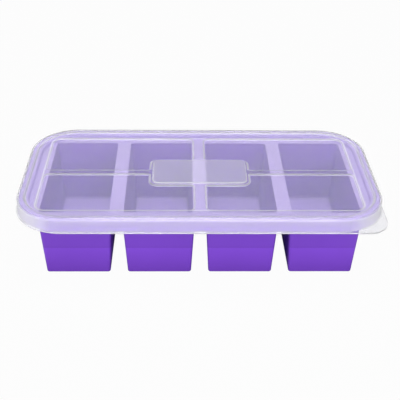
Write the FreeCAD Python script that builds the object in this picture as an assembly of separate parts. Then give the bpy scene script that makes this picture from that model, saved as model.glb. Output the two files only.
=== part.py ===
"""Freezer tray for baby food: four silicone cells in a row under one clear lid.

Millimetres, +Z up, +X along the row of cells, -Y towards the user.  The origin
is on the surface that the tray stands on, under the middle of the tray.  The
tray hangs its cells from a flat web inside a stiff rim, a steel wire lies in
the rim, and the lid caps the rim.
"""
import FreeCAD, Part
import math
import os
from FreeCAD import Vector

os.makedirs("parts", exist_ok=True)

# Cells
cell_count = 4
cell_pitch = 62.0
opening_x = 50.9
opening_y = 106.7
opening_corner_r = 2.3
cell_draft = 3.0
cell_wall = 1.8
floor_thickness = 2.2
floor_inner_r = 1.8
cell_outer_r = 2.0
floor_outer_r = 1.4
opening_edge_r = 0.7
collar = 1.0

# Web and rim of the tray
tray_height = 55.5
web_thickness = 1.8
end_margin = 17.0
side_margin = 14.8
rim_corner_r = 34.4
rim_width = 6.8
rim_rise = 2.4
rim_drop = 3.7
rim_flare = 4.0
rim_lean = 0.6
rim_round = 1.1
hem_width = 2.4
hem_drop = 2.2
hem_lean = 0.2
hem_round = 0.8
seal_width = 2.6
seal_rise = 1.5
seal_lean = 0.25
seal_foot_r = 0.3
rim_inner_r = 0.5
web_land = 2.4

# Steel wire inside the rim, and the holes left by the pins that held it
wire_diameter = 3.4
wire_inset = 3.6
wire_clearance = 0.1
pin_hole_diameter = 1.8
pins_along_side = 3
pins_along_end = 1

# Lid
lid_wall = 1.2
lid_side_gap = 0.45
lid_top_gap = 0.3
skirt_height = 12.1
lip_width = 0.5
lip_height = 1.3
lid_edge_r = 2.6
channel_width = 5.9
step_lean = 0.5
step_r = 0.7
inner_bend_r = 1.4
frame_land = 3.0

# Recessed panels and raised plate on top of the lid
panel_end_inset = 15.2
panel_side_inset = 14.4
panel_depth = 1.0
panel_lean = 1.2
panel_outer_r = 8.0
panel_inner_r = 4.6
panel_nook_r = 2.1
panel_edge_r = 0.4
long_strip_width = 6.0
cross_strip_width = 8.0
plate_length = 73.0
plate_width = 35.6
plate_rise = 0.8
plate_lean = 0.4
plate_corner_r = 4.5
plate_margin = 1.9

# Lift tab at one corner of the lid
tab_thickness = 1.2
tab_corner_r = 16.0

# Least arc left beside a fillet, and how far a cutter runs past what it cuts
arc_reserve = 0.1
overrun = 1.0

# Worked out from the sizes above
cell_slope = math.tan(math.radians(cell_draft))
cell_centres = [(i - (cell_count - 1) / 2) * cell_pitch for i in range(cell_count)]
rim_half_x = cell_centres[-1] + opening_x / 2 + end_margin
rim_half_y = opening_y / 2 + side_margin
rim_slope = math.tan(math.radians(rim_flare))
rim_bottom = tray_height - rim_drop
hem_bottom = rim_bottom - hem_drop
rim_top = tray_height + rim_rise
seal_top = rim_top + seal_rise
web_bottom = tray_height - web_thickness
web_inset = rim_width + rim_lean + web_land
wire_z = (rim_bottom + rim_top) / 2
lid_offset = lid_side_gap + lid_wall
lid_half_x = rim_half_x + lid_offset
lid_half_y = rim_half_y + lid_offset
lid_corner_r = rim_corner_r + lid_offset
frame_top = rim_top + lid_top_gap + lid_wall
lid_top = seal_top + lid_top_gap + lid_wall
skirt_bottom = lid_top - skirt_height
skirt_out = skirt_height * rim_slope
frame_edge = channel_width + step_lean + frame_land


def rounded_loop(corners, z=0.0, upright=False):
    """Closed wire through corners (a, b, radius), each rounded by a tangent arc.

    The wire lies flat at height z, or upright in the XZ plane at y = z.
    """
    def place(a, b):
        return Vector(a, z, b) if upright else Vector(a, b, z)

    count = len(corners)
    ends = []
    for i, (a, b, radius) in enumerate(corners):
        here = Vector(a, b, 0)
        to_last = (Vector(*corners[i - 1][:2], 0) - here).normalize()
        to_next = (Vector(*corners[(i + 1) % count][:2], 0) - here).normalize()
        half_angle = to_last.getAngle(to_next) / 2
        reach = radius / math.tan(half_angle)
        bisector = (to_last + to_next).normalize()
        middle = here + bisector * (radius / math.sin(half_angle) - radius)
        ends.append((here + to_last * reach, middle, here + to_next * reach, radius))
    edges = []
    for i, (start, middle, stop, radius) in enumerate(ends):
        if radius > 0:
            arc = Part.Arc(place(start.x, start.y), place(middle.x, middle.y), place(stop.x, stop.y))
            edges.append(arc.toShape())
        following = ends[(i + 1) % count][0]
        if stop.distanceToPoint(following) > 1e-6:
            edges.append(Part.makeLine(place(stop.x, stop.y), place(following.x, following.y)))
    return Part.Wire(edges)


def rounded_rectangle(half_x, half_y, radius, z, centre_x=0.0):
    """Flat rectangle with round corners, as a wire at height z."""
    corners = [(half_x, half_y), (-half_x, half_y), (-half_x, -half_y), (half_x, -half_y)]
    return rounded_loop([(centre_x + x, y, radius) for x, y in corners], z)


def drafted_block(half_x, half_y, radius, z_low, z_high, slope, centre_x=0.0):
    """Block whose half sizes are true at z_low and grow by slope up to z_high.

    Its corners keep one radius over the whole height.
    """
    grow = slope * (z_high - z_low)
    low = rounded_rectangle(half_x, half_y, radius, z_low, centre_x)
    high = rounded_rectangle(half_x + grow, half_y + grow, radius, z_high, centre_x)
    return Part.makeLoft([low, high], True, True)


def flat_plate(half_x, half_y, radius, z_low, z_high):
    """Plate with upright sides and round corners."""
    face = Part.Face(rounded_rectangle(half_x, half_y, radius, z_low))
    return face.extrude(Vector(0, 0, z_high - z_low))


def edge_ring(corners, half_x, half_y, corner_r):
    """Carry an upright section round a rectangle with round corners.

    corners are (outward distance from the rectangle, height, radius).
    """
    def section(offset, y):
        return Part.Face(rounded_loop([(offset + s, z, r) for s, z, r in corners], y, True))

    def run(half, half_length):
        straight = half_length - corner_r
        return section(half, -straight).extrude(Vector(0, 2 * straight, 0))

    up = Vector(0, 0, 1)
    bend = section(corner_r, 0).revolve(Vector(0, 0, 0), up, 90)
    pieces = []
    for quarter, (half, along) in enumerate([(half_x, half_y), (half_y, half_x)] * 2):
        side = run(half, along)
        side.rotate(Vector(0, 0, 0), up, 90 * quarter)
        turn = bend.copy()
        turn.rotate(Vector(0, 0, 0), up, 90 * quarter)
        sign_x = 1 if quarter in (0, 3) else -1
        sign_y = 1 if quarter in (0, 1) else -1
        turn.translate(Vector(sign_x * (half_x - corner_r), sign_y * (half_y - corner_r), 0))
        pieces += [side, turn]
    return pieces[0].multiFuse(pieces[1:]).removeSplitter()


def wire_ring(radius):
    """Round bar that follows the rim at the depth of the steel wire."""
    half_x = rim_half_x - wire_inset
    half_y = rim_half_y - wire_inset
    corner_r = rim_corner_r - wire_inset
    up = Vector(0, 0, 1)
    pieces = []
    for quarter, (half, along) in enumerate([(half_x, half_y), (half_y, half_x)] * 2):
        straight = along - corner_r
        side = Part.makeCylinder(radius, 2 * straight, Vector(half, -straight, wire_z), Vector(0, 1, 0))
        side.rotate(Vector(0, 0, 0), up, 90 * quarter)
        turn = Part.Face(Part.Wire(Part.makeCircle(radius, Vector(corner_r, 0, wire_z), Vector(0, 1, 0))))
        turn = turn.revolve(Vector(0, 0, 0), up, 90)
        turn.rotate(Vector(0, 0, 0), up, 90 * quarter)
        sign_x = 1 if quarter in (0, 3) else -1
        sign_y = 1 if quarter in (0, 1) else -1
        turn.translate(Vector(sign_x * (half_x - corner_r), sign_y * (half_y - corner_r), 0))
        pieces += [side, turn]
    return pieces[0].multiFuse(pieces[1:]).removeSplitter()


def edges_at(shape, z):
    """Edges of a shape that lie flat at height z."""
    return [e for e in shape.Edges if abs(e.BoundBox.ZMin - z) < 1e-6 and abs(e.BoundBox.ZMax - z) < 1e-6]


def cell_body(centre_x):
    """Outside of one cell, from its underside to the web, with a collar there."""
    grow = cell_slope * tray_height
    half_x = opening_x / 2 + cell_wall - grow
    half_y = opening_y / 2 + cell_wall - grow
    radius = max(cell_outer_r, floor_outer_r + arc_reserve)
    block = drafted_block(half_x, half_y, radius, 0, tray_height, cell_slope, centre_x)
    block = block.makeFillet(floor_outer_r, edges_at(block, 0))
    grow = cell_slope * (web_bottom - collar)
    flare = drafted_block(half_x + grow, half_y + grow, radius, web_bottom - collar, web_bottom, 1, centre_x)
    return block.fuse(flare)


def cell_pocket(centre_x):
    """Room for the food in one cell, open at the top of the web."""
    depth = tray_height - floor_thickness
    grow = cell_slope * depth
    half_x = opening_x / 2 - grow
    half_y = opening_y / 2 - grow
    radius = max(opening_corner_r, floor_inner_r + arc_reserve)
    block = drafted_block(half_x, half_y, radius, floor_thickness, tray_height, cell_slope, centre_x)
    return block.makeFillet(floor_inner_r, edges_at(block, floor_thickness))


def rim_section():
    """Section of the rim, outward distance and height, with its seal bead and hem."""
    hem_out = rim_slope * (seal_top - hem_bottom)
    hem_root = rim_slope * (seal_top - rim_bottom) - hem_width - hem_lean
    return [
        (hem_out, hem_bottom, hem_round),
        (0, seal_top, rim_round),
        (-seal_width, seal_top, rim_inner_r),
        (-seal_width - seal_lean, rim_top, seal_foot_r),
        (-rim_width, rim_top, rim_inner_r),
        (-rim_width - rim_lean, tray_height, rim_inner_r),
        (-web_inset, tray_height, 0),
        (-web_inset, web_bottom, 0),
        (-rim_width, web_bottom, rim_inner_r),
        (-rim_width, rim_bottom, rim_round),
        (hem_root, rim_bottom, rim_inner_r),
        (hem_out - hem_width, hem_bottom, hem_round),
    ]


def pin_holes():
    """Small holes under the rim, up to the wire."""
    x_side = rim_half_x - wire_inset
    y_side = rim_half_y - wire_inset
    x_step = 2 * (rim_half_x - rim_corner_r) / (pins_along_side + 1)
    y_step = 2 * (rim_half_y - rim_corner_r) / (pins_along_end + 1)
    spots = []
    for i in range(pins_along_side):
        x = (i - (pins_along_side - 1) / 2) * x_step
        spots += [(x, y_side), (x, -y_side)]
    for i in range(pins_along_end):
        y = (i - (pins_along_end - 1) / 2) * y_step
        spots += [(x_side, y), (-x_side, y)]
    height = wire_z - rim_bottom
    return [Part.makeCylinder(pin_hole_diameter / 2, height, Vector(x, y, rim_bottom)) for x, y in spots]


def mouth_edges(body):
    """Edges of the cells' mouths in the top of the web."""
    found = []
    for edge in edges_at(body, tray_height):
        middle = edge.CenterOfMass
        beside = min(abs(middle.x - x) for x in cell_centres)
        if beside < opening_x / 2 + cell_wall / 2 and abs(middle.y) < opening_y / 2 + cell_wall / 2:
            found.append(edge)
    return found


def tray():
    """The whole silicone moulding: rim, web and cells."""
    rim = edge_ring(rim_section(), rim_half_x, rim_half_y, rim_corner_r)
    web = flat_plate(rim_half_x - web_inset, rim_half_y - web_inset, rim_corner_r - web_inset,
                     web_bottom, tray_height)
    body = rim.multiFuse([web] + [cell_body(x) for x in cell_centres]).removeSplitter()
    body = body.cut(Part.Compound([cell_pocket(x) for x in cell_centres])).removeSplitter()
    body = body.makeFillet(opening_edge_r, mouth_edges(body))
    channel = wire_ring(wire_diameter / 2 + wire_clearance)
    return body.cut(Part.Compound([channel] + pin_holes())).removeSplitter()


def offset_line(points, distance):
    """Move an open line of straight runs sideways, to the left of its travel."""
    normals = []
    for (a0, b0), (a1, b1) in zip(points, points[1:]):
        length = math.hypot(a1 - a0, b1 - b0)
        normals.append(((b0 - b1) / length, (a1 - a0) / length))
    moved = []
    for i, (a, b) in enumerate(points):
        before = normals[max(i - 1, 0)]
        after = normals[min(i, len(normals) - 1)]
        share = distance / (1 + before[0] * after[0] + before[1] * after[1])
        moved.append((a + share * (before[0] + after[0]), b + share * (before[1] + after[1])))
    return moved


def lid_edge_section():
    """Section of the lid's edge: skirt, channel, step and the start of the frame."""
    skin = [
        (skirt_out, skirt_bottom),
        (0, lid_top),
        (-channel_width, lid_top),
        (-channel_width - step_lean, frame_top),
        (-frame_edge, frame_top),
    ]
    inside = offset_line(skin, lid_wall)
    inside[0] = (skirt_out - lid_wall, skirt_bottom)
    outer_r = [0, lid_edge_r, step_r, step_r, 0]
    inner_r = [0, inner_bend_r, step_r, step_r, 0]
    section = [(s, z, r) for (s, z), r in zip(skin, outer_r)]
    section += [(s, z, r) for (s, z), r in zip(inside[::-1], inner_r[::-1])]
    return section


def panel_corners(sign_x, sign_y, grow):
    """Outline of one panel, grown outwards; it steps back round the plate."""
    x_far = lid_half_x - panel_end_inset + grow
    y_far = lid_half_y - panel_side_inset + grow
    x_near = cross_strip_width / 2 - grow
    y_near = long_strip_width / 2 - grow
    x_notch = plate_length / 2 + plate_margin - grow
    y_notch = plate_width / 2 + plate_margin - grow
    outer = panel_outer_r + grow
    inner = panel_inner_r + grow
    nook = panel_nook_r + grow
    inward = plate_corner_r + plate_margin - grow
    corners = [
        (x_far, y_near, inner), (x_far, y_far, outer), (x_near, y_far, inner),
        (x_near, y_notch, nook), (x_notch, y_notch, inward), (x_notch, y_near, nook),
    ]
    return [(sign_x * x, sign_y * y, radius) for x, y, radius in corners]


def panel_block(sign_x, sign_y, grow, z_low, z_high):
    """Solid of one panel's outline that narrows on its way down."""
    low = rounded_loop(panel_corners(sign_x, sign_y, grow - panel_lean), z_low)
    high = rounded_loop(panel_corners(sign_x, sign_y, grow), z_high)
    block = Part.makeLoft([low, high], True, True)
    return block.makeFillet(panel_edge_r, edges_at(block, z_low))


def plate_block(grow, z_low, z_high):
    """Solid of the raised plate that narrows on its way up."""
    half_x = plate_length / 2 + grow
    half_y = plate_width / 2 + grow
    radius = plate_corner_r + grow
    low = rounded_rectangle(half_x + plate_lean, half_y + plate_lean, radius + plate_lean, z_low)
    high = rounded_rectangle(half_x, half_y, radius, z_high)
    block = Part.makeLoft([low, high], True, True)
    return block.makeFillet(panel_edge_r, edges_at(block, z_high))


def lift_tab():
    """Flat corner of the lid's lip, filled out almost square."""
    reach = lid_corner_r + skirt_out
    half_x = lid_half_x + skirt_out + lip_width
    half_y = lid_half_y + skirt_out + lip_width
    corners = [
        (half_x, -half_y, tab_corner_r), (half_x, reach - half_y, 0),
        (half_x - reach, reach - half_y, 0), (half_x - reach, -half_y, 0),
    ]
    blank = Part.Face(rounded_loop(corners, skirt_bottom)).extrude(Vector(0, 0, tab_thickness))
    out = skirt_out - lid_wall / 2
    return blank.cut(flat_plate(lid_half_x + out, lid_half_y + out, lid_corner_r + out,
                                skirt_bottom - overrun, skirt_bottom + tab_thickness + overrun))


def outline_edges(body):
    """Edges of the panels and the plate in the top of the lid's frame."""
    half_x = lid_half_x - panel_end_inset + panel_lean
    half_y = lid_half_y - panel_side_inset + panel_lean
    middles = [(edge, edge.CenterOfMass) for edge in edges_at(body, frame_top)]
    return [edge for edge, middle in middles if abs(middle.x) < half_x and abs(middle.y) < half_y]


def riser_shift(height, lean):
    """How far a step's outline shifts from one face of the lid's sheet to the other."""
    return lid_wall * (math.hypot(height, lean) - lean) / height


def lid():
    """The clear moulding: skirt, channel, step, frame, panels, plate and tab."""
    edge = edge_ring(lid_edge_section(), lid_half_x, lid_half_y, lid_corner_r)
    lip_profile = [
        (skirt_out + lip_width, skirt_bottom, lip_width / 2),
        (skirt_out + lip_width, skirt_bottom + lip_height, lip_width / 2),
        (skirt_out - lid_wall / 2, skirt_bottom + lip_height, 0),
        (skirt_out - lid_wall / 2, skirt_bottom, 0),
    ]
    lip = edge_ring(lip_profile, lid_half_x, lid_half_y, lid_corner_r)
    frame_bottom = frame_top - lid_wall
    sheet = flat_plate(lid_half_x - frame_edge, lid_half_y - frame_edge, lid_corner_r - frame_edge,
                       frame_bottom, frame_top)
    signs = [(1, 1), (-1, 1), (-1, -1), (1, -1)]
    panel_grow = riser_shift(panel_depth, panel_lean)
    under = [panel_block(a, b, panel_grow, frame_bottom - panel_depth, frame_bottom) for a, b in signs]
    plate = plate_block(0, frame_top, frame_top + plate_rise)
    body = edge.multiFuse([lip, sheet, lift_tab(), plate] + under).removeSplitter()
    over = [panel_block(a, b, 0, frame_top - panel_depth, frame_top) for a, b in signs]
    plate_grow = -riser_shift(plate_rise, plate_lean)
    hollow = plate_block(plate_grow, frame_bottom, frame_bottom + plate_rise)
    body = body.cut(Part.Compound(over + [hollow])).removeSplitter()
    return body.makeFillet(panel_edge_r, outline_edges(body))


def save(name, shape):
    """Write one node and print its size."""
    box = shape.BoundBox
    print(name, "solids", len(shape.Solids), "valid", shape.isValid(), "volume", round(shape.Volume),
          "box", [round(v, 2) for v in (box.XMin, box.XMax, box.YMin, box.YMax, box.ZMin, box.ZMax)])
    shape.exportStep("parts/" + name + ".step")


save("tray", tray())
save("rim_wire", wire_ring(wire_diameter / 2))
save("lid", lid())
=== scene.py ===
"""Looks of the lidded freezer tray: purple silicone, steel wire and milky lid."""
import math

import bpy
from bpy.props import FloatProperty, FloatVectorProperty, PointerProperty
from mathutils import Matrix, Vector

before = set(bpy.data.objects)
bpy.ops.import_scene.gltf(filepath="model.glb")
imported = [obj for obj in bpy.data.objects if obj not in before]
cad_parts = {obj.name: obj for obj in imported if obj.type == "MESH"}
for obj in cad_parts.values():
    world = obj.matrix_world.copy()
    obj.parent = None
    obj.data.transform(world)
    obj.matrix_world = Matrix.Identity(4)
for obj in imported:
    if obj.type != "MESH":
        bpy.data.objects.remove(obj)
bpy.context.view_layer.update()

bl_info = {
    "name": "Freezer tray looks",
    "version": (1, 0, 0),
    "blender": (4, 5, 0),
    "location": "View3D > Sidebar > Freezer tray",
    "description": "Finishes the silicone tray, its rim wire and the clear lid, and sets the stage",
    "category": "Object",
}

PHOTO_WIDTH_PX = 400
SENSOR_WIDTH_MM = 36.0

# Stage. Lengths are in metres, here and below.
FLOOR_SIZE = 6.0
TRAY_MIDDLE = (0, 0, 0.03)
RIM_MIDDLE = (0, 0, 0.04)
WHITE = (1, 1, 1, 1)
HALF_A_BOUNCE = 0.5         # under it, a ray has not met a matt surface yet

# Noise patterns.
NOISE_LOW = 0.3             # a noise output mostly stays between these two
NOISE_HIGH = 0.7

# Silicone. Shades and tones are shares of its colour.
SILICONE_IOR = 1.41
SILICONE_GLOSS = 0.7
SILICONE_CLOUD = 0.035      # size of the soft clouds in its colour
SILICONE_CLOUD_SHADE = 0.94
SMEAR = 0.012               # size of the duller and glossier smears
SMEAR_ROUGHNESS = 0.05      # how far they move the roughness up and down
GRAIN_HEIGHT = 0.0002
FILL_SHARE = 0.25           # where the wall tones have the fill line; 0 is the underside
# Tones up the wall, by share of the height: painted shade darkening the silicone towards the
# underside, a faint fill line, and plain above it; the web above gets painted shade too.
WALL_SHADE_AND_FILL_LINE = [
    (0.0, 0.86), (0.05, 0.95), (0.15, 1.07), (0.243, 1.16), (0.248, 0.93), (0.27, 1.0), (0.4, 1.0),
]
WEB_FADE = 0.01             # share of that height over which the tone turns into the web's

# Wire.
DRAWN_STREAK = 0.002        # size of the streaks that drawing leaves
DRAWN_SHADE = 0.85
DRAWN_SMOOTHER = 0.08       # how far they lower and raise the roughness
DRAWN_ROUGHER = 0.1

# Lid. A level is the upward part of a face's normal, 0 if upright and 1 if level, either way up.
LID_IOR = 1.49
LID_CLOUD = 0.05            # size of the soft clouds in its colour and polish
LID_CLOUD_SHADE = 0.98
LID_SMOOTHER = 0.8          # shares of the roughness between which the polish wanders
LID_ROUGHER = 1.25
UPRIGHT_LEVEL = 0.3         # the skirt's sides are under this
LIP_LEVEL = 0.7             # the lip's rounded faces are under this
FLAT_LEVEL = 0.97           # the flats are over this
STEP_LEVELS = (0.2, 0.3, 0.77, 0.82, 0.98, 0.997)   # nothing, side, side, edge, edge, nothing
BEND_LEVELS = (0.93, 0.99)  # bends up to the first, flats from the second
EDGE_ON_POWER = 4.0         # the higher, the nearer to edge-on the added milk starts
MOST_MILK = 0.95            # some light passes everywhere
PLATE_ROUGHNESS = 0.1       # roughness that the frosted plate has besides


class TrayLook(bpy.types.PropertyGroup):
    """Finish of the silicone tray."""
    colour: FloatVectorProperty(
        name="Silicone colour", description="Colour of the silicone in linear light",
        subtype="COLOR", size=3, min=0, max=1, default=(0.192, 0.058, 0.58))
    roughness: FloatProperty(
        name="Silicone roughness", description="Roughness of the satin silicone",
        subtype="FACTOR", min=0, max=1, default=0.46)
    grain: FloatProperty(
        name="Grain size", description="Size of the mould's fine spark-eroded grain",
        subtype="DISTANCE", unit="LENGTH", default=0.0006)
    grain_depth: FloatProperty(
        name="Grain depth", description="Strength of the fine grain's bump",
        subtype="FACTOR", min=0, max=1, default=0.12)
    fill_line: FloatProperty(
        name="Fill line",
        description="Height of the faint line round each cell that marks half a portion",
        subtype="DISTANCE", unit="LENGTH", min=0.01, default=0.0243)
    # Painted sheen: a pale colour mixed into the faces that look up.
    painted_sheen: FloatProperty(
        name="Bloom", description="Share of the chalky bloom that lies on the faces that look up",
        subtype="FACTOR", min=0, max=1, default=0.28)
    # Painted sheen that the web and the rim get besides.
    web_painted_sheen: FloatProperty(
        name="Bloom on web", description="Share of bloom that the web and the rim have besides",
        subtype="FACTOR", min=0, max=1, default=0.05)
    # Above this height the silicone gets the web's painted sheen and painted shade.
    web_bottom: FloatProperty(
        name="Web bottom",
        description="Height above which the silicone has the web's bloom and tone",
        subtype="DISTANCE", unit="LENGTH", default=0.054)
    # Painted sheen also lies on the rim's upright faces above this foot, at the share below.
    rim_foot: FloatProperty(
        name="Rim foot",
        description="Height above which the upright faces of the rim have the bloom too",
        subtype="DISTANCE", unit="LENGTH", default=0.0558)
    rim_painted_sheen: FloatProperty(
        name="Bloom on rim",
        description="Share of the bloom that the upright faces of the rim have",
        subtype="FACTOR", min=0, max=1, default=0.55)
    # Painted shade: the web and the rim are darkened to this share of the silicone's colour.
    painted_web_shade: FloatProperty(
        name="Tone of web",
        description="Share of its colour that the silicone keeps on the web and the rim",
        subtype="FACTOR", min=0, max=1, default=0.8)
    # Colour of the painted sheen.
    painted_sheen_colour: FloatVectorProperty(
        name="Bloom colour", description="Colour of the chalky bloom in linear light",
        subtype="COLOR", size=3, min=0, max=1, default=(0.75, 0.72, 0.82))


class LidLook(bpy.types.PropertyGroup):
    """Finish of the clear lid."""
    colour: FloatVectorProperty(
        name="Lid colour", description="Tint of the milky plastic in linear light",
        subtype="COLOR", size=3, min=0, max=1, default=(0.9, 0.9, 0.93))
    flat_milk: FloatProperty(
        name="Milk of flats", description="Share of light that a level face of the lid scatters",
        subtype="FACTOR", min=0, max=1, default=0.075)
    # Partly painted highlight: the steep steps scatter more, standing in for the bright lines along
    # them.
    step_milk_and_painted_highlight: FloatProperty(
        name="Milk of steps",
        description="Share of light that the steep steps of the lid's top scatter",
        subtype="FACTOR", min=0, max=1, default=0.22)
    # Partly painted highlight: the steps' round edges scatter most, standing in for the glints
    # along them.
    edge_milk_and_painted_highlight: FloatProperty(
        name="Milk of edges",
        description="Share of light that the round edges of those steps scatter",
        subtype="FACTOR", min=0, max=1, default=0.45)
    # Painted highlight: a bright line along the bottom of the skirt.
    painted_lip_highlight: FloatProperty(
        name="Milk of lip",
        description="Share of light that the lip along the skirt's bottom scatters",
        subtype="FACTOR", min=0, max=1, default=0.6)
    lip_top: FloatProperty(
        name="Top of lip", description="Height of the top of the skirt's lip",
        subtype="DISTANCE", unit="LENGTH", default=0.0501)
    skirt_milk: FloatProperty(
        name="Milk of skirt", description="Share of light that the lid's upright skirt scatters",
        subtype="FACTOR", min=0, max=1, default=0.25)
    # Painted light: the skirt's corners scatter more, standing in for the light that falls on them.
    painted_corner_light: FloatProperty(
        name="Milk of corners",
        description="Share of light that the skirt scatters besides at its corners",
        subtype="FACTOR", min=0, max=1, default=0.35)
    corner_field: FloatVectorProperty(
        name="Corner field",
        description="Half length and half width where the corners begin, and their reach",
        subtype="XYZ", unit="LENGTH", size=3, default=(0.108, 0.036, 0.018))
    edge_on_milk: FloatProperty(
        name="Milk edge-on",
        description="Share of light that the lid scatters besides where it is seen edge-on",
        subtype="FACTOR", min=0, max=1, default=0.45)
    # Painted highlight: a thin milky line round the panels that stands in for the bright line along
    # their edges.
    painted_outline_highlight: FloatProperty(
        name="Milk of outline",
        description="Share of light that the thin line round the panels scatters",
        subtype="FACTOR", min=0, max=1, default=0.42)
    outline: FloatVectorProperty(
        name="Outline",
        description="Half length, half width and corner radius of the line round the panels",
        subtype="XYZ", unit="LENGTH", size=3, default=(0.1227, 0.0562, 0.0088))
    outline_width: FloatProperty(
        name="Outline width", description="Width of the line round the panels",
        subtype="DISTANCE", unit="LENGTH", min=0, default=0.0009)
    inner: FloatVectorProperty(
        name="Inner field",
        description="Half length, half width and corner radius of the field of milky steps",
        subtype="XYZ", unit="LENGTH", size=3, default=(0.1326, 0.0653, 0.0315))
    glow_depth: FloatProperty(
        name="Glow depth", description="How far light spreads inside the milky plastic",
        subtype="DISTANCE", unit="LENGTH", min=0, default=0.003)
    frost: FloatProperty(
        name="Frost of plate",
        description="Share of light that the finely grained plate scatters besides",
        subtype="FACTOR", min=0, max=1, default=0.11)
    plate: FloatVectorProperty(
        name="Frosted field",
        description="Half length, half width and corner radius of the frosted plate",
        subtype="XYZ", unit="LENGTH", size=3, default=(0.0362, 0.0175, 0.0042))
    roughness: FloatProperty(
        name="Lid roughness", description="Roughness of the lid's faces",
        subtype="FACTOR", min=0, max=1, default=0.06)
    bend_roughness: FloatProperty(
        name="Roughness of bends",
        description="Roughness that the lid's bends and sides have besides",
        subtype="FACTOR", min=0, max=1, default=0.12)
    shade: FloatVectorProperty(
        name="Shade", description="Light that the lid lets through to what lies under it",
        subtype="COLOR", size=3, min=0, max=1, default=(0.82, 0.82, 0.84))


class WireLook(bpy.types.PropertyGroup):
    """Finish of the steel wire in the rim."""
    colour: FloatVectorProperty(
        name="Wire colour", description="Colour of the drawn stainless wire in linear light",
        subtype="COLOR", size=3, min=0, max=1, default=(0.55, 0.55, 0.54))
    roughness: FloatProperty(
        name="Wire roughness", description="Roughness of the drawn wire",
        subtype="FACTOR", min=0, max=1, default=0.32)


class StageLook(bpy.types.PropertyGroup):
    """Camera, lamps, floor and world."""
    camera_place: FloatVectorProperty(
        name="Camera place", description="Where the camera stands",
        subtype="TRANSLATION", unit="LENGTH", size=3, default=(-0.01405, -0.54327, 0.37735))
    camera_turn: FloatVectorProperty(
        name="Camera turn", description="Turn to the right, tilt down and roll of the camera",
        subtype="EULER", unit="ROTATION", size=3,
        default=(math.radians(1.57), math.radians(32.37), math.radians(0.91)))
    focal_px: FloatProperty(
        name="Focal length", description="Focal length in pixels of the 400 pixel wide frame",
        min=100, default=797.5)
    top_power: FloatProperty(
        name="Top lamp", description="Power of the wide lamp above",
        subtype="POWER", unit="POWER", min=0, default=7.7)
    front_power: FloatProperty(
        name="Front lamp", description="Power of the wide lamp beside the camera",
        subtype="POWER", unit="POWER", min=0, default=18.6)
    left_power: FloatProperty(
        name="Left lamp", description="Power of the weak lamp on the left",
        subtype="POWER", unit="POWER", min=0, default=7.0)
    world_strength: FloatProperty(
        name="Room light", description="Strength of the even light of the room",
        min=0, default=0.15)
    world_gloss: FloatProperty(
        name="Room in gloss",
        description="Share of white that the room has where a gloss mirrors it",
        subtype="FACTOR", min=0, max=1, default=0.7)
    floor_colour: FloatVectorProperty(
        name="Floor colour", description="Colour of the floor in linear light",
        subtype="COLOR", size=3, min=0, max=1, default=(0.3, 0.3, 0.3))
    floor_glow: FloatProperty(
        name="Floor white", description="Share of plain white in the floor as the camera meets it",
        subtype="FACTOR", min=0, max=1, default=0.97)
    floor_shade: FloatVectorProperty(
        name="Floor shade",
        description="Half length, half width and blur of the floor that the gloss sees dark",
        subtype="XYZ", unit="LENGTH", size=3, default=(0.12, 0.15, 0.04))


def feed(tree, socket, value):
    """Link an output to the socket, or set a plain value on it."""
    if isinstance(value, bpy.types.NodeSocket):
        tree.links.new(value, socket)
    else:
        socket.default_value = value


def add_node(tree, kind, **inputs):
    """New node; inputs, named with underscores for spaces, take an output or a plain value."""
    made = tree.nodes.new(kind)
    for name, value in inputs.items():
        feed(tree, made.inputs[name.replace("_", " ")], value)
    return made


def maths(tree, operation, *values):
    """Math node on outputs or plain numbers; returns its output."""
    made = tree.nodes.new("ShaderNodeMath")
    made.operation = operation
    for socket, value in zip(made.inputs, values):
        feed(tree, socket, value)
    return made.outputs["Value"]


def vector_maths(tree, operation, first, second=(0, 0, 0)):
    """Vector math node on an output and a plain vector; returns the node."""
    made = tree.nodes.new("ShaderNodeVectorMath")
    made.operation = operation
    feed(tree, made.inputs[0], first)
    feed(tree, made.inputs[1], second)
    return made


def grey_ramp(tree, source, stops):
    """Value that runs through the stops (position, value) as the source grows."""
    ramp = add_node(tree, "ShaderNodeValToRGB", Fac=source)
    for position, _ in stops[2:]:
        ramp.color_ramp.elements.new(position)
    for element, (position, value) in zip(ramp.color_ramp.elements, stops):
        element.position = position
        element.color = (value, value, value, 1)
    return ramp.outputs["Color"]


def mixed_colour(tree, share, first, second):
    """Colour that runs from the first to the second as the share grows."""
    mix = tree.nodes.new("ShaderNodeMix")
    mix.data_type = "RGBA"
    for name, value in (("Factor", share), ("A", first), ("B", second)):
        feed(tree, mix.inputs[name], value)
    return mix.outputs["Result"]


def show_mixed(tree, output, share, first, second):
    """Link a mix of two shaders to the output; the share is how much of the second shows."""
    mix = add_node(tree, "ShaderNodeMixShader", Fac=share)
    tree.links.new(first, mix.inputs[1])
    tree.links.new(second, mix.inputs[2])
    tree.links.new(mix.outputs["Shader"], output.inputs["Surface"])


def new_material(name):
    """Empty node material with its output; returns the material, its tree and the output."""
    material = bpy.data.materials.new(name)
    material.use_nodes = True
    tree = material.node_tree
    tree.nodes.clear()
    return material, tree, tree.nodes.new("ShaderNodeOutputMaterial")


def coordinates(tree, kind):
    """Texture coordinates of that kind: Object, in metres, or Normal, of the face."""
    return tree.nodes.new("ShaderNodeTexCoord").outputs[kind]


def height_up(tree):
    """Height in metres above the surface that the tray stands on."""
    return add_node(tree, "ShaderNodeSeparateXYZ", Vector=coordinates(tree, "Object")).outputs["Z"]


def facing_up(tree):
    """Upward part of a face's normal, 1 on a level face."""
    return add_node(tree, "ShaderNodeSeparateXYZ", Vector=coordinates(tree, "Normal")).outputs["Z"]


def object_noise(tree, size, detail):
    """Noise over object coordinates with features of that size in metres."""
    noise = add_node(tree, "ShaderNodeTexNoise", Vector=coordinates(tree, "Object"),
                     Scale=1 / size, Detail=detail)
    return noise.outputs["Fac"]


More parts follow.
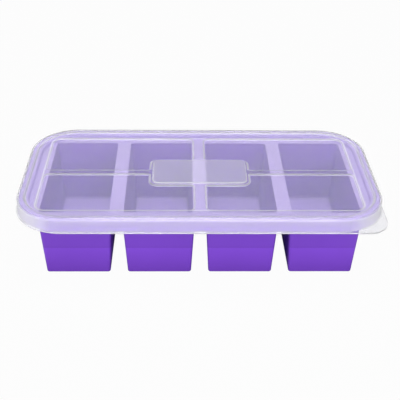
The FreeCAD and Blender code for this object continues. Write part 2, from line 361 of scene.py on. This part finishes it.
def between(tree, noise, low, high):
    """Map a noise output to the range from low to high."""
    ramp = add_node(tree, "ShaderNodeMapRange", Value=noise, From_Min=NOISE_LOW,
                    From_Max=NOISE_HIGH, To_Min=low, To_Max=high)
    return ramp.outputs["Result"]


def shaded_colour(tree, colour, noise, shade):
    """The colour, drawn towards that share of itself where the noise is low."""
    darker = [part * shade for part in colour]
    return mixed_colour(tree, between(tree, noise, 0, 1), (*darker, 1), (*colour, 1))


def past_rectangle(tree, half_x, half_y):
    """Level distance outside a rectangle round the origin, 0 inside it."""
    place = coordinates(tree, "Object")
    level = vector_maths(tree, "MULTIPLY", place, (1, 1, 0)).outputs["Vector"]
    corner = vector_maths(tree, "ABSOLUTE", level).outputs["Vector"]
    past = vector_maths(tree, "SUBTRACT", corner, (half_x, half_y, 0)).outputs["Vector"]
    outside = vector_maths(tree, "MAXIMUM", past, (0, 0, 0)).outputs["Vector"]
    return vector_maths(tree, "LENGTH", outside).outputs["Value"]


def rounded_field(tree, half_x, half_y, radius):
    """1 inside a rounded rectangle seen from above, 0 outside it."""
    distance = past_rectangle(tree, half_x - radius, half_y - radius)
    return maths(tree, "LESS_THAN", distance, radius)


def outline_field(tree, half_x, half_y, radius, width):
    """1 on a line just inside a rounded rectangle seen from above, 0 elsewhere."""
    distance = past_rectangle(tree, half_x - radius, half_y - radius)
    return maths(tree, "MULTIPLY", maths(tree, "LESS_THAN", distance, radius),
                 maths(tree, "GREATER_THAN", distance, radius - width))


def corner_field(tree, half_x, half_y, reach):
    """0 along the straight sides, growing to 1 within the reach round each of the four corners."""
    corner = vector_maths(tree, "ABSOLUTE", coordinates(tree, "Object")).outputs["Vector"]
    past = vector_maths(tree, "SUBTRACT", corner, (half_x, half_y, 0)).outputs["Vector"]
    parts = add_node(tree, "ShaderNodeSeparateXYZ", Vector=past).outputs
    least = maths(tree, "DIVIDE", maths(tree, "MINIMUM", parts["X"], parts["Y"]), reach)
    return maths(tree, "MINIMUM", maths(tree, "MAXIMUM", least, 0.0), 1.0)


def silicone_shade_and_fill_line(tree, look):
    """Tone of the silicone: painted shade darkening it towards the underside and on the web, and a
    faint fill line.
    """
    full_height = look.fill_line / FILL_SHARE
    web = look.web_bottom / full_height
    stops = WALL_SHADE_AND_FILL_LINE + [(web - WEB_FADE, 1.0), (web, look.painted_web_shade)]
    return grey_ramp(tree, maths(tree, "DIVIDE", height_up(tree), full_height), stops)


def painted_sheen_share(tree, look):
    """Share of painted sheen: on what looks up, a little more on the web, and down the rim."""
    on_rim = maths(tree, "GREATER_THAN", height_up(tree), look.rim_foot)
    rim = maths(tree, "MULTIPLY", on_rim, look.rim_painted_sheen)
    on_web = maths(tree, "GREATER_THAN", height_up(tree), look.web_bottom)
    web = maths(tree, "MULTIPLY", on_web, look.web_painted_sheen)
    painted_sheen = maths(tree, "ADD", web, look.painted_sheen)
    return maths(tree, "MULTIPLY", maths(tree, "MAXIMUM", facing_up(tree), rim), painted_sheen)


def silicone_material(look):
    """Satin purple silicone with a fine moulded grain and a painted sheen on its upper faces."""
    material, tree, output = new_material("purple_silicone")
    cloud = object_noise(tree, SILICONE_CLOUD, detail=3.0)
    # The colour, darkened by painted shade towards the underside and on the web.
    toned = tree.nodes.new("ShaderNodeVectorMath")
    toned.operation = "SCALE"
    feed(tree, toned.inputs[0], shaded_colour(tree, look.colour, cloud, SILICONE_CLOUD_SHADE))
    feed(tree, toned.inputs["Scale"], silicone_shade_and_fill_line(tree, look))
    smear = object_noise(tree, SMEAR, detail=4.0)
    bump = add_node(tree, "ShaderNodeBump", Strength=look.grain_depth, Distance=GRAIN_HEIGHT,
                    Height=object_noise(tree, look.grain, detail=2.0))
    # Base colour: the shaded silicone with the painted sheen mixed in on its upper faces.
    shader = add_node(
        tree, "ShaderNodeBsdfPrincipled", IOR=SILICONE_IOR, Specular_IOR_Level=SILICONE_GLOSS,
        Base_Color=mixed_colour(tree, painted_sheen_share(tree, look), toned.outputs["Vector"],
                                (*look.painted_sheen_colour, 1)),
        Roughness=between(tree, smear, look.roughness - SMEAR_ROUGHNESS,
                          look.roughness + SMEAR_ROUGHNESS),
        Normal=bump.outputs["Normal"])
    tree.links.new(shader.outputs["BSDF"], output.inputs["Surface"])
    return material


def wire_material(look):
    """Drawn stainless wire."""
    material, tree, output = new_material("drawn_stainless_wire")
    drawn = object_noise(tree, DRAWN_STREAK, detail=3.0)
    shader = add_node(
        tree, "ShaderNodeBsdfPrincipled", Metallic=1.0,
        Base_Color=shaded_colour(tree, look.colour, drawn, DRAWN_SHADE),
        Roughness=between(tree, drawn, look.roughness - DRAWN_SMOOTHER,
                          look.roughness + DRAWN_ROUGHER))
    tree.links.new(shader.outputs["BSDF"], output.inputs["Surface"])
    return material


def face_milk(tree, look, level):
    """Milk of the lid's faces: least on the flats, more on the skirt, and most at its corners,
    where it is painted light.
    """
    faces = grey_ramp(tree, level, [
        (0.0, look.skirt_milk), (UPRIGHT_LEVEL, look.skirt_milk), (FLAT_LEVEL, look.flat_milk),
    ])
    upright = maths(tree, "LESS_THAN", level, UPRIGHT_LEVEL)
    corners = maths(tree, "MULTIPLY", corner_field(tree, *look.corner_field), look.painted_corner_light)
    return maths(tree, "ADD", faces, maths(tree, "MULTIPLY", upright, corners))


def inner_step_milk(tree, look, level):
    """Milk of the steps inside the lid's channel, on their sides and their round edges, partly
    painted highlights along them.
    """
    shares = (0.0, look.step_milk_and_painted_highlight, look.step_milk_and_painted_highlight, look.edge_milk_and_painted_highlight, look.edge_milk_and_painted_highlight, 0.0)
    steps = grey_ramp(tree, level, list(zip(STEP_LEVELS, shares)))
    return maths(tree, "MULTIPLY", steps, rounded_field(tree, *look.inner))


def skirt_painted_lip_highlight(tree, look, level):
    """Painted highlight: milk along the lip at the bottom of the skirt."""
    low = maths(tree, "LESS_THAN", height_up(tree), look.lip_top)
    lip = maths(tree, "MULTIPLY", low, maths(tree, "LESS_THAN", level, LIP_LEVEL))
    return maths(tree, "MULTIPLY", lip, look.painted_lip_highlight)


def lid_milk(tree, look):
    """Share of light that the lid scatters: the most that a place has, with painted highlights on
    the line round the panels and on the lip, and more seen edge-on.
    """
    level = maths(tree, "ABSOLUTE", facing_up(tree))
    faces = maths(tree, "MAXIMUM", face_milk(tree, look, level), inner_step_milk(tree, look, level))
    # Painted highlights: the thin line round the panels, and the lip.
    line = outline_field(tree, *look.outline, look.outline_width)
    lines = maths(tree, "MAXIMUM", skirt_painted_lip_highlight(tree, look, level),
                  maths(tree, "MULTIPLY", line, look.painted_outline_highlight))
    weight = add_node(tree, "ShaderNodeLayerWeight", Blend=0.5)
    edge_on = maths(tree, "POWER", weight.outputs["Facing"], EDGE_ON_POWER)
    return maths(tree, "ADD", maths(tree, "MAXIMUM", faces, lines),
                 maths(tree, "MULTIPLY", edge_on, look.edge_on_milk))


def lid_roughness(tree, look, cloud, plate):
    """Roughness of the lid: polished flats, duller bends, and the dull plate in the middle."""
    polish = between(tree, cloud, look.roughness * LID_SMOOTHER, look.roughness * LID_ROUGHER)
    level = maths(tree, "ABSOLUTE", facing_up(tree))
    bends = grey_ramp(tree, level, list(zip(BEND_LEVELS, (look.bend_roughness, 0.0))))
    dull = maths(tree, "ADD", bends, maths(tree, "MULTIPLY", plate, PLATE_ROUGHNESS))
    return maths(tree, "ADD", polish, dull)


def lid_material(look):
    """Milky clear plastic that lets lamp light through to the tray."""
    material, tree, output = new_material("milky_clear_plastic")
    cloud = object_noise(tree, LID_CLOUD, detail=2.0)
    plate = rounded_field(tree, *look.plate)
    frosted = maths(tree, "ADD", lid_milk(tree, look), maths(tree, "MULTIPLY", plate, look.frost))
    milk = maths(tree, "MINIMUM", frosted, MOST_MILK)
    shader = add_node(
        tree, "ShaderNodeBsdfPrincipled", IOR=LID_IOR, Subsurface_Weight=1.0,
        Subsurface_Scale=look.glow_depth, Subsurface_Radius=(1, 1, 1),
        Base_Color=shaded_colour(tree, look.colour, cloud, LID_CLOUD_SHADE),
        Transmission_Weight=maths(tree, "SUBTRACT", 1.0, milk),
        Roughness=lid_roughness(tree, look, cloud, plate))
    passing = add_node(tree, "ShaderNodeBsdfTransparent", Color=(*look.shade, 1))
    for_shadow = tree.nodes.new("ShaderNodeLightPath").outputs["Is Shadow Ray"]
    show_mixed(tree, output, for_shadow, shader.outputs["BSDF"], passing.outputs["BSDF"])
    return material


def seen_directly(tree, in_gloss):
    """1 for what the camera sees straight or through the lid, that share in gloss, 0 for light."""
    ray = tree.nodes.new("ShaderNodeLightPath").outputs
    straight = maths(tree, "MAXIMUM", ray["Is Camera Ray"], ray["Is Transmission Ray"])
    gloss = maths(tree, "MULTIPLY", ray["Is Glossy Ray"], in_gloss)
    before_matt = maths(tree, "LESS_THAN", ray["Diffuse Depth"], HALF_A_BOUNCE)
    return maths(tree, "MULTIPLY", maths(tree, "MAXIMUM", straight, gloss), before_matt)


def clear_of_tray(tree, half_x, half_y, blur):
    """0 on the floor under the tray, 1 well clear of it."""
    share = maths(tree, "DIVIDE", past_rectangle(tree, half_x, half_y), blur)
    return maths(tree, "MINIMUM", share, 1.0)


def floor_material(look):
    """Pale floor that looks nearly white and keeps a faint shadow."""
    material, tree, output = new_material("pale_floor")
    matt = add_node(tree, "ShaderNodeBsdfDiffuse", Color=(*look.floor_colour, 1))
    white = add_node(tree, "ShaderNodeEmission", Color=WHITE, Strength=1.0)
    seen = seen_directly(tree, clear_of_tray(tree, *look.floor_shade))
    show_mixed(tree, output, maths(tree, "MULTIPLY", seen, look.floor_glow),
               matt.outputs["BSDF"], white.outputs["Emission"])
    return material


def dress(node, material):
    """Give a CAD node its finish."""
    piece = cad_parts[node]
    piece.data.materials.clear()
    piece.data.materials.append(material)


def make_world(look):
    """Even room light, white where it is seen directly."""
    world = bpy.data.worlds.new("room")
    world.use_nodes = True
    tree = world.node_tree
    tree.nodes.clear()
    output = tree.nodes.new("ShaderNodeOutputWorld")
    room = add_node(tree, "ShaderNodeBackground", Color=WHITE, Strength=look.world_strength)
    white = add_node(tree, "ShaderNodeBackground", Color=WHITE, Strength=1.0)
    show_mixed(tree, output, seen_directly(tree, look.world_gloss),
               room.outputs["Background"], white.outputs["Background"])
    bpy.context.scene.world = world


def make_camera(look):
    """Camera at the photograph's place, turned right, tilted down and rolled."""
    turn, tilt, roll = look.camera_turn
    level = math.cos(tilt)
    forward = Vector((math.sin(turn) * level, math.cos(turn) * level, -math.sin(tilt)))
    right = Vector((math.cos(turn), -math.sin(turn), 0))
    up = right.cross(forward)
    side = math.cos(roll) * right + math.sin(roll) * up
    top = math.cos(roll) * up - math.sin(roll) * right
    data = bpy.data.cameras.new("camera")
    data.sensor_width = SENSOR_WIDTH_MM
    data.lens = look.focal_px * SENSOR_WIDTH_MM / PHOTO_WIDTH_PX
    camera = bpy.data.objects.new("camera", data)
    bpy.context.scene.collection.objects.link(camera)
    axes = Matrix((side, top, -forward)).transposed()
    camera.matrix_world = Matrix.Translation(Vector(look.camera_place)) @ axes.to_4x4()
    bpy.context.scene.camera = camera


def make_lamp(name, place, target, width, power, mirrored):
    """Square area lamp that looks at a point; unless mirrored, no gloss shows it."""
    data = bpy.data.lights.new(name, "AREA")
    data.shape = "SQUARE"
    data.size = width
    data.energy = power
    lamp = bpy.data.objects.new(name, data)
    bpy.context.scene.collection.objects.link(lamp)
    lamp.location = place
    lamp.visible_glossy = mirrored
    lamp.rotation_euler = (Vector(target) - Vector(place)).to_track_quat("-Z", "Y").to_euler()


def make_floor(look):
    """Large pale floor under the tray."""
    bpy.ops.object.select_all(action="DESELECT")
    bpy.ops.mesh.primitive_plane_add(size=FLOOR_SIZE, location=(0, 0, 0))
    floor = bpy.context.object
    floor.name = "floor"
    floor.data.materials.append(floor_material(look))


class FREEZER_TRAY_OT_silicone(bpy.types.Operator):
    """Finish the silicone tray."""
    bl_idname = "freezer_tray.silicone"
    bl_label = "Silicone tray"

    def execute(self, context):
        """Give the tray its silicone."""
        dress("tray", silicone_material(context.scene.tray_look))
        return {"FINISHED"}


class FREEZER_TRAY_OT_wire(bpy.types.Operator):
    """Finish the steel wire in the rim."""
    bl_idname = "freezer_tray.wire"
    bl_label = "Rim wire"

    def execute(self, context):
        """Give the wire its steel."""
        dress("rim_wire", wire_material(context.scene.wire_look))
        return {"FINISHED"}


class FREEZER_TRAY_OT_lid(bpy.types.Operator):
    """Finish the clear lid."""
    bl_idname = "freezer_tray.lid"
    bl_label = "Clear lid"

    def execute(self, context):
        """Give the lid its milky plastic."""
        dress("lid", lid_material(context.scene.lid_look))
        return {"FINISHED"}


class FREEZER_TRAY_OT_stage(bpy.types.Operator):
    """Set the floor, the room, the lamps and the camera."""
    bl_idname = "freezer_tray.stage"
    bl_label = "Stage"

    def execute(self, context):
        """Make the stage."""
        look = context.scene.stage_look
        make_floor(look)
        make_world(look)
        make_lamp("top_lamp", place=(0.0, 0.0, 1.2), target=TRAY_MIDDLE, width=0.45,
                  power=look.top_power, mirrored=False)
        make_lamp("front_lamp", place=(0.25, -1.4, 0.42), target=TRAY_MIDDLE, width=1.1,
                  power=look.front_power, mirrored=False)
        make_lamp("left_lamp", place=(-1.2, -0.7, 0.5), target=RIM_MIDDLE, width=0.8,
                  power=look.left_power, mirrored=True)
        make_camera(look)
        context.scene.view_settings.view_transform = "Standard"
        return {"FINISHED"}


class FREEZER_TRAY_PT_panel(bpy.types.Panel):
    """Sidebar panel with the tray's operators and looks."""
    bl_idname = "FREEZER_TRAY_PT_panel"
    bl_label = "Freezer tray"
    bl_space_type = "VIEW_3D"
    bl_region_type = "UI"
    bl_category = "Freezer tray"

    def draw(self, context):
        """List the operators, each above its settings."""
        scene = context.scene
        rows = [
            ("freezer_tray.silicone", scene.tray_look), ("freezer_tray.wire", scene.wire_look),
            ("freezer_tray.lid", scene.lid_look), ("freezer_tray.stage", scene.stage_look),
        ]
        for operator, look in rows:
            self.layout.operator(operator)
            for name in look.bl_rna.properties.keys():
                if name not in ("rna_type", "name"):
                    self.layout.prop(look, name)


LOOKS = {
    "tray_look": TrayLook, "wire_look": WireLook, "lid_look": LidLook, "stage_look": StageLook,
}
CLASSES = [
    *LOOKS.values(), FREEZER_TRAY_OT_silicone, FREEZER_TRAY_OT_wire, FREEZER_TRAY_OT_lid,
    FREEZER_TRAY_OT_stage, FREEZER_TRAY_PT_panel,
]


def register():
    """Register the classes and hang the looks on the scene."""
    for each in CLASSES:
        bpy.utils.register_class(each)
    for name, group in LOOKS.items():
        setattr(bpy.types.Scene, name, PointerProperty(type=group))


def unregister():
    """Undo register."""
    for name in LOOKS:
        delattr(bpy.types.Scene, name)
    for each in reversed(CLASSES):
        bpy.utils.unregister_class(each)


def main():
    """Make the whole scene."""
    register()
    bpy.ops.freezer_tray.silicone()
    bpy.ops.freezer_tray.wire()
    bpy.ops.freezer_tray.lid()
    bpy.ops.freezer_tray.stage()


if __name__ == "__main__":
    main()
